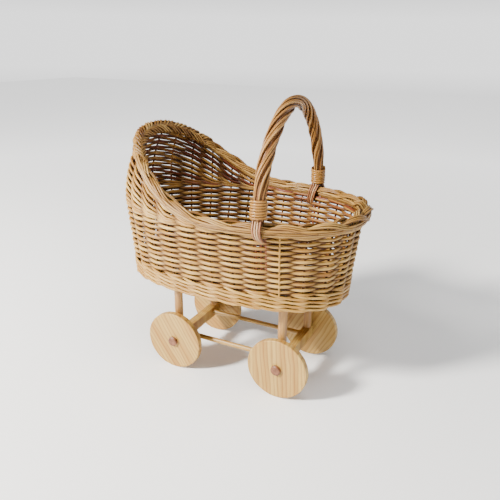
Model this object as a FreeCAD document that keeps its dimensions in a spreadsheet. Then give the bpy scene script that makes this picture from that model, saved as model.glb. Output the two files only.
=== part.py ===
"""Doll stroller: a woven willow pram basket with a raised hood and a rope handle, on a four-wheel frame.

Frame: +Z up, X along the basket with the hood at -X and the low front at +X, Y across it.
The origin is on the floor, under the middle of the overall length and width. Millimetres.
"""

import FreeCAD, Part
import math
import os
import Sketcher
from FreeCAD import Placement, Rotation
from FreeCAD import Vector as V

doc = FreeCAD.newDocument("doll_stroller")
sheet = doc.addObject("Spreadsheet::Sheet", "dims")

SIZES = {
    # Overall
    "total_height": 310.0,
    # Wheels and their pins
    "wheel_base": 129.0,
    "chassis_x": 3.0,
    "wheel_dia": 68.0,
    "wheel_thick": 7.0,
    "wheel_round": 1.0,
    "pin_dia": 4.5,
    "pin_depth": 11.0,
    "pin_head_dia": 11.0,
    "pin_head_thick": 3.2,
    "pin_head_bevel": 0.8,
    "pin_running_gap": 0.06,
    "wheel_side_gap": 0.5,
    "head_side_gap": 0.3,
    "glue_gap": 0.05,
    # Frame
    "beam_width": 9.5,
    "beam_height": 12.5,
    "beam_length": 91.0,
    "post_dia": 9.5,
    "post_spread": 79.0,
    "tenon_dia": 6.0,
    "post_socket": 3.0,
    "rail_dia": 5.4,
    "rail_spread": 61.0,
    "rail_rise": 1.0,
    "rail_socket": 3.0,
    # Basket
    "foot_low": 109.0,
    "foot_height": 10.0,
    "foot_proud": 0.6,
    "base_recess": 2.0,
    "base_thick": 6.6,
    "base_gap": 0.3,
    "base_x": -4.6,
    "base_power": 2.5,
    "rim_length": 268.0,
    "rim_width": 173.0,
    "rim_power": 2.3,
    "rim_level": 197.0,
    "lean_long": 8.4,
    "lean_side": 15.7,
    "wall_thick": 5.5,
    "hood_dome": 120.0,
    "hood_start": 18.0,
    "hood_bend": 120.0,
    "hood_slope": 41.5,
    "border_out": 6.0,
    "border_in": 6.0,
    "border_height": 13.0,
    "border_gap": 0.3,
    "stick_dia": 2.6,
    "stick_layer_gap": 0.4,
    "stick_margin": 4.0,
    # Screws that hold the base on the posts
    "screw_dia": 2.6,
    "screw_length": 24.0,
    "screw_head_dia": 6.0,
    "screw_head_thick": 1.8,
    "washer_dia": 14.0,
    "washer_thick": 1.0,
    "screw_hole_gap": 0.2,
    # Handle
    "handle_x": 56.0,
    "rope_dia": 13.5,
    "bow_dia": 5.5,
    "bow_gap": 0.15,
    "arch_easing": 18.5,
    "wrap_thick": 1.35,
    "wrap_height": 18.0,
    "wrap_gap": 0.15,
    "strap_width": 10.0,
    "strap_thick": 2.2,
    "strap_gap": 0.3,
    "strap_round": 2.0,
}
for row, (alias, value) in enumerate(SIZES.items(), start=1):
    sheet.set(f"A{row}", alias)
    sheet.set(f"B{row}", str(value))
    sheet.setAlias(f"B{row}", alias)
doc.recompute()


def size(alias):
    """The number that the sheet holds under this alias."""
    return float(getattr(sheet, alias))


def bind(thing, prop, expression):
    """Ties a property to the sheet; names in the expression are the sheet's aliases with a leading dot."""
    thing.setExpression(prop, expression.replace(" .", " dims."))


def place(thing, x=None, y=None, z=None, turn=0.0):
    """Turns a sub-part about Z, then ties its position to the sheet."""
    thing.Placement = Placement(V(0, 0, 0), Rotation(V(0, 0, 1), turn))
    for axis, expression in (("x", x), ("y", y), ("z", z)):
        if expression:
            bind(thing, f"Placement.Base.{axis}", expression)


# Heights and positions that several pieces share
AXLE_Z = " .wheel_dia / 2"
BEAM_TOP = " .wheel_dia / 2 + .beam_height / 2"
BASE_LOW = " .foot_low + .base_recess"
AXLE_X = {"rear": " .chassis_x - .wheel_base / 2", "front": " .chassis_x + .wheel_base / 2"}
PIN_REACH = " .wheel_side_gap + .wheel_thick + .head_side_gap"
wheel_radius = size("wheel_dia") / 2
axle_x = {
    "rear": size("chassis_x") - size("wheel_base") / 2,
    "front": size("chassis_x") + size("wheel_base") / 2,
}
side_sign = {"left": -1, "right": 1}
foot_top = size("foot_low") + size("foot_height")
base_low = size("foot_low") + size("base_recess")
base_top = base_low + size("base_thick")
rim_x = -size("border_out") / 2
rim_half_length = size("rim_length") / 2
rim_half_width = size("rim_width") / 2
border_low = size("rim_level") - size("border_height") / 2
border_top = size("rim_level") + size("border_height") / 2

subparts = []


def keep(thing, label):
    """Gives a finished sub-part its own label and lists it for export."""
    thing.Label = label
    subparts.append(thing)
    return thing


# ---------------------------------------------------------------- sketch helpers


def new_body(name):
    return doc.addObject("PartDesign::Body", name + "_body")


def new_sketch(body, name, plane, offset=None):
    """A sketch on one of the body's origin planes, shifted along its normal by an expression."""
    made = body.newObject("Sketcher::SketchObject", name)
    made.AttachmentSupport = [next(f for f in body.Origin.OriginFeatures if f.Role == plane), ""]
    made.MapMode = "FlatFace"
    if offset:
        bind(made, "AttachmentOffset.Base.z", offset)
    return made


def circle(sketch, radius, across=None, up=None):
    """A circle of a bound radius, centred on the origin or at bound signed distances from it."""
    at = V(sheet_value(across), sheet_value(up), 0)
    edge = sketch.addGeometry(Part.Circle(at, V(0, 0, 1), sheet_value(radius)))
    bound(sketch, Sketcher.Constraint("Radius", edge, sheet_value(radius)), radius)
    centre = 3
    if across is None:
        sketch.addConstraint(Sketcher.Constraint("PointOnObject", edge, centre, -2))
    else:
        bound(sketch, Sketcher.Constraint("DistanceX", -1, 1, edge, centre, at.x), across)
    if up is None:
        sketch.addConstraint(Sketcher.Constraint("PointOnObject", edge, centre, -1))
    else:
        bound(sketch, Sketcher.Constraint("DistanceY", -1, 1, edge, centre, at.y), up)


def sheet_value(expression):
    """The number that a bound expression gives, or zero for none."""
    if expression is None:
        return 0.0
    return float(sheet.evalExpression(expression.replace(" .", " dims.")))


def bound(sketch, constraint, expression):
    index = sketch.addConstraint(constraint)
    bind(sketch, f"Constraints[{index}]", expression)


def polygon(sketch, points):
    """A closed outline; each corner is tied to the origin by two bound distances, or lies on an axis."""
    corners = [V(sheet_value(across), sheet_value(up), 0) for across, up in points]
    count = len(corners)
    for i in range(count):
        sketch.addGeometry(Part.LineSegment(corners[i], corners[(i + 1) % count]))
    for i in range(count):
        sketch.addConstraint(Sketcher.Constraint("Coincident", i, 2, (i + 1) % count, 1))
    for i, (across, up) in enumerate(points):
        if across is None:
            sketch.addConstraint(Sketcher.Constraint("PointOnObject", i, 1, -2))
        else:
            bound(sketch, Sketcher.Constraint("DistanceX", -1, 1, i, 1, corners[i].x), across)
        if up is None:
            sketch.addConstraint(Sketcher.Constraint("PointOnObject", i, 1, -1))
        else:
            bound(sketch, Sketcher.Constraint("DistanceY", -1, 1, i, 1, corners[i].y), up)


def pad(body, sketch, length, both_ways=False):
    made = body.newObject("PartDesign::Pad", sketch.Name + "_pad")
    made.Profile = sketch
    if both_ways:
        made.SideType = "Symmetric"
    bind(made, "Length", length)
    return made


def pocket(body, sketch, depth, turned=False):
    """Cuts a sketch into the body and makes sure that it took material away."""
    doc.recompute()
    before = body.Shape.Volume
    made = body.newObject("PartDesign::Pocket", sketch.Name + "_cut")
    made.Profile = sketch
    made.Reversed = turned
    bind(made, "Length", depth)
    doc.recompute()
    if body.Shape.Volume > before - 1.0:
        raise RuntimeError(f"{made.Name} cuts nothing")
    return made


def revolve(body, sketch):
    """Turns a half outline about the sketch's upright axis."""
    made = body.newObject("PartDesign::Revolution", sketch.Name + "_turned")
    made.Profile = sketch
    made.ReferenceAxis = (sketch, ["V_Axis"])
    made.Angle = 360.0
    return made


# ---------------------------------------------------------------- wheels, pins and frame


def wheel(end, side):
    """A solid disc with a bore that runs on its pin."""
    name = f"{end}_{side}_wheel"
    body = new_body(name)
    outline = new_sketch(body, name + "_disc", "XZ_Plane")
    circle(outline, " .wheel_dia / 2")
    circle(outline, " .pin_dia / 2 + .pin_running_gap")
    disc = pad(body, outline, " .wheel_thick", both_ways=True)
    doc.recompute()
    edges = enumerate(disc.Shape.Edges, start=1)
    rims = [f"Edge{i}" for i, edge in edges if edge_radius(edge) > wheel_radius - 0.1]
    rounded = body.newObject("PartDesign::Fillet", name + "_round")
    rounded.Base = (disc, rims)
    bind(rounded, "Radius", " .wheel_round")
    sign = "" if side_sign[side] > 0 else "-"
    middle = f"{sign}( .beam_length / 2 + .wheel_side_gap + .wheel_thick / 2)"
    place(body, x=AXLE_X[end], y=middle, z=AXLE_Z)
    keep(body, name)


def edge_radius(edge):
    """The radius of a round edge, or zero for a straight one."""
    return edge.Curve.Radius if hasattr(edge.Curve, "Radius") else 0.0


def axle_pin(end, side):
    """A peg glued in the beam's end, with a bevelled head that keeps the wheel on."""
    name = f"{end}_{side}_axle_pin"
    body = new_body(name)
    outline = new_sketch(body, name + "_half", "XY_Plane")
    polygon(
        outline,
        [
            (None, " .pin_depth"),
            (" .pin_dia / 2", " .pin_depth"),
            (" .pin_dia / 2", f"-({PIN_REACH})"),
            (" .pin_head_dia / 2", f"-({PIN_REACH})"),
            (" .pin_head_dia / 2", f"-({PIN_REACH} + .pin_head_thick - .pin_head_bevel)"),
            (" .pin_head_dia / 2 - .pin_head_bevel", f"-({PIN_REACH} + .pin_head_thick)"),
            (None, f"-({PIN_REACH} + .pin_head_thick)"),
        ],
    )
    revolve(body, outline)
    sign = "" if side_sign[side] > 0 else "-"
    place(body, x=AXLE_X[end], y=f"{sign} .beam_length / 2", z=AXLE_Z, turn=90.0 * (1 + side_sign[side]))
    keep(body, name)


def axle_beam(end):
    """A square bar across the frame, with sockets for two posts, two rails and two pins."""
    name = f"{end}_axle_beam"
    body = new_body(name)
    outline = new_sketch(body, name + "_bar", "XY_Plane")
    half_width = " .beam_width / 2"
    half_length = " .beam_length / 2"
    polygon(
        outline,
        [
            (f"-{half_width}", f"-{half_length}"),
            (half_width, f"-{half_length}"),
            (half_width, half_length),
            (f"-{half_width}", half_length),
        ],
    )
    pad(body, outline, " .beam_height")
    posts = new_sketch(body, name + "_posts", "XY_Plane", " .beam_height")
    rails = new_sketch(body, name + "_rails", "YZ_Plane", "- .beam_width / 2")
    for sign in ("", "-"):
        circle(posts, " .tenon_dia / 2 + .glue_gap", up=f"{sign} .post_spread / 2")
        rail_z = " .beam_height / 2 + .rail_rise"
        circle(rails, " .rail_dia / 2 + .glue_gap", f"{sign} .rail_spread / 2", rail_z)
    pocket(body, posts, " .post_socket")
    pocket(body, rails, " .rail_socket", turned=True)
    for side, offset in (("left", half_length), ("right", f"-{half_length}")):
        hole = new_sketch(body, f"{name}_{side}_pin", "XZ_Plane", offset)
        circle(hole, " .pin_dia / 2 + .glue_gap", up=" .beam_height / 2")
        pocket(body, hole, " .pin_depth", turned=side == "right")
    turn = 0.0 if end == "front" else 180.0
    place(body, x=AXLE_X[end], z=" .wheel_dia / 2 - .beam_height / 2", turn=turn)
    keep(body, name)


def side_rail(side):
    """A thin dowel that ties the two beams together."""
    made = doc.addObject("Part::Cylinder", f"{side}_rail_dowel")
    bind(made, "Radius", " .rail_dia / 2")
    bind(made, "Height", " .wheel_base - .beam_width + 2 * .rail_socket")
    sign = "" if side_sign[side] > 0 else "-"
    made.Placement = Placement(V(0, 0, 0), Rotation(V(0, 1, 0), 90))
    bind(made, "Placement.Base.x", " .chassis_x - .wheel_base / 2 + .beam_width / 2 - .rail_socket")
    bind(made, "Placement.Base.y", f"{sign} .rail_spread / 2")
    bind(made, "Placement.Base.z", " .wheel_dia / 2 + .rail_rise")
    keep(made, f"{side}_rail")


def post(end, side):
    """A dowel from the beam's top up to the base, with a tenon in the beam and a pilot hole for its screw."""
    name = f"{end}_{side}_post"
    body = new_body(name)
    height = f"{BASE_LOW} - ({BEAM_TOP}) + .post_socket"
    tenon = new_sketch(body, name + "_tenon", "XY_Plane")
    circle(tenon, " .tenon_dia / 2")
    pad(body, tenon, " .post_socket")
    outline = new_sketch(body, name + "_round", "XY_Plane", " .post_socket")
    circle(outline, " .post_dia / 2")
    pad(body, outline, f"{height} - .post_socket")
    pilot = new_sketch(body, name + "_pilot", "XY_Plane", height)
    circle(pilot, " .screw_dia / 2 + .glue_gap")
    pocket(body, pilot, " .screw_length - .base_thick - .washer_thick + .screw_hole_gap")
    sign = "" if side_sign[side] > 0 else "-"
    place(body, x=AXLE_X[end], y=f"{sign} .post_spread / 2", z=f"{BEAM_TOP} - .post_socket")
    keep(body, name)


# ---------------------------------------------------------------- woven basket


def spread(level):
    """The oval's middle, half sizes and power at one height: leaning out to the rim, then domed in."""
    rise = (level - size("foot_low")) / (size("rim_level") - size("foot_low"))
    part = min(max(rise, 0.0), 1.0)
    over = max(level - size("rim_level"), 0.0) / size("hood_dome")
    dome = math.sqrt(max(1.0 - over**2, 0.0))
    middle = size("base_x") + (rim_x - size("base_x")) * part
    half_length = (rim_half_length - size("lean_long") * (1 - part)) * dome
    half_width = (rim_half_width - size("lean_side") * (1 - part)) * dome
    power = size("base_power") + (size("rim_power") - size("base_power")) * part
    return middle, half_length, half_width, power


def half_width_at(x, level, offset):
    """Half the oval's width at one place along the basket."""
    middle, half_length, half_width, power = spread(level)
    share = abs(x - middle) / (half_length + offset)
    return (half_width + offset) * (1.0 - share**power) ** (1.0 / power)


def oval_point(turn, level, offset):
    """A point of the oval at one height, at a turn from the front end round to the left."""
    middle, half_length, half_width, power = spread(level)
    c, s = math.cos(turn), math.sin(turn)
    x = middle + (half_length + offset) * math.copysign(abs(c) ** (2 / power), c)
    y = (half_width + offset) * math.copysign(abs(s) ** (2 / power), s) if abs(s) > 1e-9 else 0.0
    return V(x, y, level)


OVAL_POINTS = 32


def oval(level, offset):
    """A closed smooth oval, between an ellipse and a rectangle, moved out or in by the offset."""
    curve = Part.BSplineCurve()
    turns = [2 * math.pi * i / OVAL_POINTS for i in range(OVAL_POINTS)]
    curve.interpolate([oval_point(turn, level, offset) for turn in turns], PeriodicFlag=True)
    return Part.Wire([curve.toShape()])


def edge_height(x, shift):
    """Height of the opening's edge above one place: level, then bent up, then straight up the hood."""
    slope = math.radians(size("hood_slope"))
    bend = size("hood_bend") - shift
    behind = size("hood_start") - x
    level = size("rim_level") + shift
    if behind <= 0:
        return level
    if behind < bend * math.sin(slope):
        return level + bend - math.sqrt(bend**2 - behind**2)
    return level + bend * (1 - math.cos(slope)) + (behind - bend * math.sin(slope)) * math.tan(slope)


EDGE_TRIES = 60


def edge_point(turn, offset, shift):
    """Where the oval at this turn meets the opening's edge."""
    level = size("rim_level") + shift
    for _ in range(EDGE_TRIES):
        level = (level + edge_height(oval_point(turn, level, offset).x, shift)) / 2
    return oval_point(turn, level, offset)


SKIN_TURNS = 36
SKIN_ROWS = 8


def skin(point_at, side):
    """One side of a surface round the basket, through points given by a turn and a share of the way up."""
    rows = []
    for i in range(SKIN_TURNS + 1):
        turn = side * math.pi * i / SKIN_TURNS
        rows.append([point_at(turn, j / SKIN_ROWS) for j in range(SKIN_ROWS + 1)])
    surface = Part.BSplineSurface()
    surface.interpolate(rows)
    return surface


def ring_between(outer_point, inner_point):
    """A closed solid round the basket between an outer and an inner surface."""
    faces = []
    for side in side_sign.values():
        outside = skin(outer_point, side)
        inside = skin(inner_point, side)
        faces += [outside.toShape(), inside.toShape()]
        for share in (0.0, 1.0):
            faces.append(Part.makeRuledSurface(outside.vIso(share).toShape(), inside.vIso(share).toShape()))
    shell = Part.makeShell(faces)
    shell.sewShape()
    return Part.makeSolid(shell)


def slab(low, high, offset):
    """A straight-sided oval plate between two heights."""
    middle_level = (low + high) / 2
    plate = Part.Face(oval(middle_level, offset)).extrude(V(0, 0, high - low))
    plate.translate(V(0, 0, low - middle_level))
    return plate


def woven(label, shape):
    """A woven piece, as one closed solid of its outer shape."""
    made = doc.addObject("Part::Feature", label + "_weave")
    made.Shape = shape
    return keep(made, label)


def side_wall():
    """The woven wall from the foot up to the border, higher round the hood."""
    shift = -size("border_height") / 2 - size("border_gap")

    def wall_point(offset):
        def point(turn, share):
            high = edge_point(turn, offset, shift).z
            return oval_point(turn, foot_top + (high - foot_top) * share, offset)

        return point

    woven("side_wall", ring_between(wall_point(0.0), wall_point(-size("wall_thick"))))


BORDER_CREST = 0.35


def rim_border():
    """The thick rolled border along the opening's edge, with bulging faces."""
    middle = (size("border_out") - size("border_in")) / 2
    half_thick = (size("border_out") + size("border_in")) / 2

    def border_point(sign):
        def point(turn, share):
            lift = math.pi * (share - 0.5)
            bulge = BORDER_CREST + (1 - BORDER_CREST) * math.cos(lift)
            shift = math.sin(lift) * size("border_height") / 2
            return edge_point(turn, middle + sign * half_thick * bulge, shift)

        return point

    woven("rim_border", ring_between(border_point(1), border_point(-1)))


def foot_ring():
    """The thicker twisted rows round the bottom, which the base sits inside."""
    outside = slab(size("foot_low"), foot_top, size("foot_proud"))
    woven("foot_ring", outside.cut(slab(size("foot_low"), foot_top, -size("wall_thick"))))


def stick_layers():
    """Heights of the crosswise and the lengthwise base sticks, one layer above the other."""
    middle = (base_low + base_top) / 2
    half = (size("stick_dia") + size("stick_layer_gap")) / 2
    return middle - half, middle + half


CROSS_STICKS = 6
LONG_STICKS = 3
LONG_STICK_REACH = 0.93


def base_sticks():
    """Stiffening sticks inside the woven base, between and beyond the two rows of posts."""
    cross_z, long_z = stick_layers()
    middle_z = (base_low + base_top) / 2
    spacing = size("wheel_base") / (CROSS_STICKS - 2)
    inset = -size("wall_thick") - size("base_gap") - size("stick_margin")
    sticks = []
    for i in range(CROSS_STICKS):
        x = axle_x["rear"] + spacing * (i - 0.5)
        half = half_width_at(x, middle_z, inset)
        sticks.append((V(x, -half, cross_z), V(0, 1, 0), 2 * half))
    middle, half_length, _, _ = spread(middle_z)
    gap = size("post_spread") / (LONG_STICKS + 1)
    half = (half_length + inset) * LONG_STICK_REACH
    for i in range(LONG_STICKS):
        y = gap * (i - (LONG_STICKS - 1) / 2)
        sticks.append((V(middle - half, y, long_z), V(1, 0, 0), 2 * half))
    cylinders = []
    for number, (start, axis, length) in enumerate(sticks, start=1):
        stick = doc.addObject("Part::Cylinder", f"base_stick_{number}")
        bind(stick, "Radius", " .stick_dia / 2")
        stick.Height = length
        stick.Placement = Placement(start, Rotation(V(0, 0, 1), axis))
        cylinders.append(stick)
    group = doc.addObject("Part::Compound", "base_stick_group")
    group.Links = cylinders
    return keep(group, "base_sticks")


def base_plate(sticks):
    """The woven oval base, with its sticks inside it and a hole for each post's screw."""
    doc.recompute()
    plate = slab(base_low, base_top, -size("wall_thick") - size("base_gap"))
    plate = plate.cut([stick.Shape for stick in sticks.Links])
    hole_radius = size("screw_dia") / 2 + size("screw_hole_gap")
    for spot in post_spots():
        plate = plate.cut(Part.makeCylinder(hole_radius, size("base_thick"), spot + V(0, 0, base_low)))
    woven("base_plate", plate)


def post_spots():
    """Where the posts stand, at floor level."""
    half_spread = size("post_spread") / 2
    return [V(axle_x[end], side_sign[side] * half_spread, 0) for end in axle_x for side in side_sign]


# ---------------------------------------------------------------- screws and washers


def grouped(label, single):
    """The same small piece over every post, as one node of separate solids."""
    made = doc.addObject("Part::Feature", label + "_group")
    copies = []
    for spot in post_spots():
        copy = single.copy()
        copy.translate(spot)
        copies.append(copy)
    made.Shape = Part.Compound(copies)
    return keep(made, label)


def post_washers():
    """Wide washers that spread each screw's pull over the weave."""
    ring = Part.makeCylinder(size("washer_dia") / 2, size("washer_thick"), V(0, 0, base_top))
    hole_radius = size("screw_dia") / 2 + size("screw_hole_gap")
    hole = Part.makeCylinder(hole_radius, size("washer_thick"), V(0, 0, base_top))
    grouped("post_washers", ring.cut(hole))


def post_screws():
    """Pan-head screws, through washer and base into the posts."""
    seat = base_top + size("washer_thick")
    tip = V(0, 0, seat - size("screw_length"))
    shank = Part.makeCylinder(size("screw_dia") / 2, size("screw_length"), tip)
    head = Part.makeCylinder(size("screw_head_dia") / 2, size("screw_head_thick"), V(0, 0, seat))
    rim = [edge for edge in head.Edges if top_edge(edge, head)]
    head = head.makeFillet(size("screw_head_thick") / 2, rim)
    grouped("post_screws", shank.fuse(head))


def top_edge(edge, solid):
    return edge.BoundBox.ZMin > solid.BoundBox.ZMax - 1e-6


# ---------------------------------------------------------------- handle


def arch_wire():
    """Middle line of the handle in five arcs: up through a wrap, over the top and down through the other."""
    half = handle_half
    rise = size("total_height") - size("rope_dia") / 2 - wrap_low
    small = min(half, rise) - size("arch_easing")
    large = (min(half, rise) ** 2 + (max(half, rise) - small) ** 2 - small**2) / (2 * size("arch_easing"))
    side_radius, top_radius = (large, small) if rise > half else (small, large)
    side_middle = V(0, half - side_radius, 0)
    top_middle = V(0, 0, rise - top_radius)
    toward_join = (top_middle - side_middle).normalize() * math.copysign(1.0, side_radius - top_radius)
    join_turn = math.atan2(toward_join.z, toward_join.y)
    wrap_turn = size("wrap_height") / side_radius

    def on_side(turn):
        return side_middle + V(0, math.cos(turn), math.sin(turn)) * side_radius

    foot = [on_side(0.0), on_side(wrap_turn / 2), on_side(wrap_turn)]
    side = [foot[2], on_side((wrap_turn + join_turn) / 2), on_side(join_turn)]
    top = [side[2], V(0, 0, rise), flip(side[2])]
    far_side = [flip(point) for point in reversed(side)]
    far_foot = [flip(point) for point in reversed(foot)]
    arcs = [foot, side, top, far_side, far_foot]
    wire = Part.Wire([Part.Arc(*points).toShape() for points in arcs])
    wire.translate(V(size("handle_x"), 0, wrap_low))
    return wire


def flip(point):
    return V(point.x, -point.y, point.z)


strap_low = border_top + size("strap_gap")
wrap_low = strap_low + size("strap_thick")
handle_half = (
    half_width_at(size("handle_x"), size("rim_level"), size("border_out"))
    + half_width_at(size("handle_x"), size("rim_level"), -size("border_in"))
) / 2
WHOLE_ARCH = ["Edge1", "Edge2", "Edge3", "Edge4", "Edge5"]
WRAP_BORE = " .rope_dia / 2 + .wrap_gap"


def swept(name, radius, along):
    """A round section of a bound radius swept along arcs of the handle's middle line, from its right foot."""
    section = doc.addObject("Part::Circle", name + "_section")
    bind(section, "Radius", radius)
    section.Placement = Placement(V(size("handle_x"), handle_half, wrap_low), Rotation())
    made = doc.addObject("Part::Sweep", name + "_sweep")
    made.Sections = [section]
    made.Spine = (arch, along)
    made.Solid = True
    made.Transition = "Transformed"
    return made


def tube(name, outer_radius, inner_radius, along):
    made = doc.addObject("Part::Cut", name + "_tube")
    made.Base = swept(name, outer_radius, along)
    made.Tool = swept(name + "_bore", inner_radius, along)
    return made


def handle_bow():
    """The stout rod inside the handle."""
    keep(swept("bow", " .bow_dia / 2", WHOLE_ARCH), "handle_bow")


def handle_rope():
    """The rods twisted round the bow, as one tube of their outer size."""
    keep(tube("rope", " .rope_dia / 2", " .bow_dia / 2 + .bow_gap", WHOLE_ARCH), "handle_rope")


def handle_wraps():
    """Cane wound round each foot of the handle."""
    right = keep(tube("wrap", f"{WRAP_BORE} + .wrap_thick", WRAP_BORE, ["Edge1"]), "right_handle_wrap")
    left = doc.addObject("Part::Mirroring", "wrap_mirror")
    left.Source = right
    left.Normal = V(0, 1, 0)
    keep(left, "left_handle_wrap")


def strap(side, face):
    """A band of rods from under the handle's foot, over the border and down one face of it."""
    half_strap = size("strap_width") / 2
    outward = 1 if face == "outer" else -1
    edge_x = size("handle_x") - outward * half_strap
    edge = half_width_at(edge_x, size("rim_level"), size("border_out") if outward > 0 else -size("border_in"))
    near = edge + outward * size("strap_gap")
    far = near + outward * size("strap_thick")
    low = border_low - (size("strap_thick") if outward > 0 else 0.0)
    seat = handle_half + outward * (size("rope_dia") / 2 + size("wrap_gap"))
    round_out = min(size("strap_round") + size("strap_thick"), abs(far - seat))
    body = new_body(f"{side}_{face}_strap")
    outline = new_sketch(body, f"{side}_{face}_strap_side", "YZ_Plane")
    corners = [
        V(handle_half, wrap_low, 0),
        V(far - outward * round_out, wrap_low, 0),
        V(far, wrap_low - round_out, 0),
        V(far, low, 0),
        V(near, low, 0),
        V(near, strap_low - size("strap_round"), 0),
        V(near - outward * size("strap_round"), strap_low, 0),
        V(handle_half, strap_low, 0),
    ]
    corners = [V(side_sign[side] * corner.x, corner.y, 0) for corner in corners]
    for start, end in zip(corners, corners[1:] + corners[:1]):
        outline.addGeometry(Part.LineSegment(start, end))
    for i in range(len(corners)):
        outline.addConstraint(Sketcher.Constraint("Block", i))
    pad(body, outline, " .strap_width", both_ways=True)
    place(body, x=" .handle_x")
    keep(body, f"{side}_{face}_strap")


# ---------------------------------------------------------------- assembly

for beam_end in ("front", "rear"):
    axle_beam(beam_end)
    for hand in ("left", "right"):
        post(beam_end, hand)
        axle_pin(beam_end, hand)
        wheel(beam_end, hand)
for hand in ("left", "right"):
    side_rail(hand)

foot_ring()
base_plate(base_sticks())
side_wall()
rim_border()
post_washers()
post_screws()

arch = doc.addObject("Part::Feature", "handle_middle_line")
arch.Shape = arch_wire()
handle_bow()
handle_rope()
handle_wraps()
for hand in ("left", "right"):
    strap(hand, "outer")
    strap(hand, "inner")

doc.recompute()
for thing in doc.Objects:
    if "Invalid" in thing.State or "Error" in thing.State:
        raise RuntimeError(f"{thing.Label} did not recompute: {thing.State}")
for thing in subparts:
    if thing.Shape.isNull() or not thing.Shape.isValid() or not thing.Shape.Solids:
        raise RuntimeError(f"{thing.Label} has no valid solid")

os.makedirs("parts", exist_ok=True)
for thing in subparts:
    thing.Shape.exportStep(f"parts/{thing.Label}.step")
    print(f"{thing.Label}: {len(thing.Shape.Solids)} solid(s), {thing.Shape.Volume:.0f} mm3")
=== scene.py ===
"""Doll stroller: woven willow basket with a plaited border and rope handle, on a pine and dowel frame."""

import math

import bpy
import numpy as np
from mathutils import Matrix, Vector


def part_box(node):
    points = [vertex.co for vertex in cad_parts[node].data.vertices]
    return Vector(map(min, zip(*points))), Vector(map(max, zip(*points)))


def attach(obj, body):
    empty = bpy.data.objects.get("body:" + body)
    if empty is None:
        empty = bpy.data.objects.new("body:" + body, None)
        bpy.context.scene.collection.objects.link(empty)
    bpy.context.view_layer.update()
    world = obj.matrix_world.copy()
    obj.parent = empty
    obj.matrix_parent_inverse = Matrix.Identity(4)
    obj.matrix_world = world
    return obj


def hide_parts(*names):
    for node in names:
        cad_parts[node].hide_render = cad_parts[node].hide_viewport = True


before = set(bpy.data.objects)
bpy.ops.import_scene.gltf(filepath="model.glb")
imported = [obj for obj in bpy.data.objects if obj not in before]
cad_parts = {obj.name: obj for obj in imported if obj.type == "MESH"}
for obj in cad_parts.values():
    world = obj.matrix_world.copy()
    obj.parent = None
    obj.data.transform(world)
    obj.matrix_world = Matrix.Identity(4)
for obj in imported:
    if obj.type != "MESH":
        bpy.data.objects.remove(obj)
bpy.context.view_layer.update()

MM = 0.001
UP = np.array([0.0, 0.0, 1.0])
BODY = "carriage"
rng = np.random.default_rng(28)

# ---------------------------------------------------------------- shape of the basket, in millimetres


def corners(node):
    """Lowest and highest corner of a CAD node, in millimetres."""
    low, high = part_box(node)
    return np.array(low) / MM, np.array(high) / MM


foot_low_corner, foot_high_corner = corners("foot_ring")
wall_low_corner = corners("side_wall")[0]
border_low_corner, border_high_corner = corners("rim_border")
rope_low_corner, rope_high_corner = corners("handle_rope")
plate_low_corner, plate_high_corner = corners("base_plate")

FOOT_PROUD = 0.6
WALL = 5.5
BORDER_HALF = 6.0
BORDER_HEIGHT = 13.0
BASE_POWER = 2.5
RIM_POWER = 2.3
HOOD_DOME = 120.0
HOOD_START = 18.0
HOOD_BEND = 120.0
HOOD_SLOPE = math.radians(41.5)

foot_low = foot_low_corner[2]
base_x = (foot_low_corner[0] + foot_high_corner[0]) / 2
rim_level = border_low_corner[2] + BORDER_HEIGHT / 2
rim_half_width = border_high_corner[1] - BORDER_HALF
rim_half_length = (border_high_corner[0] - wall_low_corner[0] - BORDER_HALF) / 2
rim_x = border_high_corner[0] - BORDER_HALF - rim_half_length
foot_rise = (foot_high_corner[2] - foot_low) / 2 / (rim_level - foot_low)
foot_half_length = (foot_high_corner[0] - foot_low_corner[0]) / 2 - FOOT_PROUD
foot_half_width = foot_high_corner[1] - FOOT_PROUD
base_half_length = (foot_half_length - rim_half_length * foot_rise) / (1 - foot_rise)
base_half_width = (foot_half_width - rim_half_width * foot_rise) / (1 - foot_rise)


def wall_point(turn, level, offset):
    """Points of the wall's oval at a turn and a height, moved out by the offset. All three may be arrays."""
    turn, level, offset = np.broadcast_arrays(turn, level, offset)
    part = np.clip((level - foot_low) / (rim_level - foot_low), 0.0, 1.0)
    over = np.clip(level - rim_level, 0.0, 0.99 * HOOD_DOME) / HOOD_DOME
    dome = np.sqrt(1.0 - over**2)
    middle = base_x + (rim_x - base_x) * part
    half_length = (base_half_length + (rim_half_length - base_half_length) * part) * dome + offset
    half_width = (base_half_width + (rim_half_width - base_half_width) * part) * dome + offset
    power = 2 / (BASE_POWER + (RIM_POWER - BASE_POWER) * part)
    c, s = np.cos(turn), np.sin(turn)
    x = middle + half_length * np.sign(c) * np.abs(c) ** power
    y = half_width * np.sign(s) * np.abs(s) ** power
    return np.stack([x, y, level], axis=-1)


def edge_height(x, shift):
    """Height of the opening's edge above a place: level, then bent up, then straight up the hood."""
    bend = HOOD_BEND - shift
    behind = HOOD_START - x
    reach = bend * math.sin(HOOD_SLOPE)
    bent = bend - np.sqrt(bend**2 - np.clip(behind, 0.0, reach) ** 2)
    straight = np.maximum(behind - reach, 0.0) * math.tan(HOOD_SLOPE)
    return rim_level + shift + bent + straight


def edge_level(turn, offset, shift):
    """The height at which the wall's oval meets the opening's edge."""
    level = np.full(np.shape(turn), rim_level + shift)
    for _ in range(60):
        level = (level + edge_height(wall_point(turn, level, offset)[..., 0], shift)) / 2
    return level


# ---------------------------------------------------------------- rods as meshes


def unit(vectors):
    return vectors / np.maximum(np.linalg.norm(vectors, axis=-1, keepdims=True), 1e-12)


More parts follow.
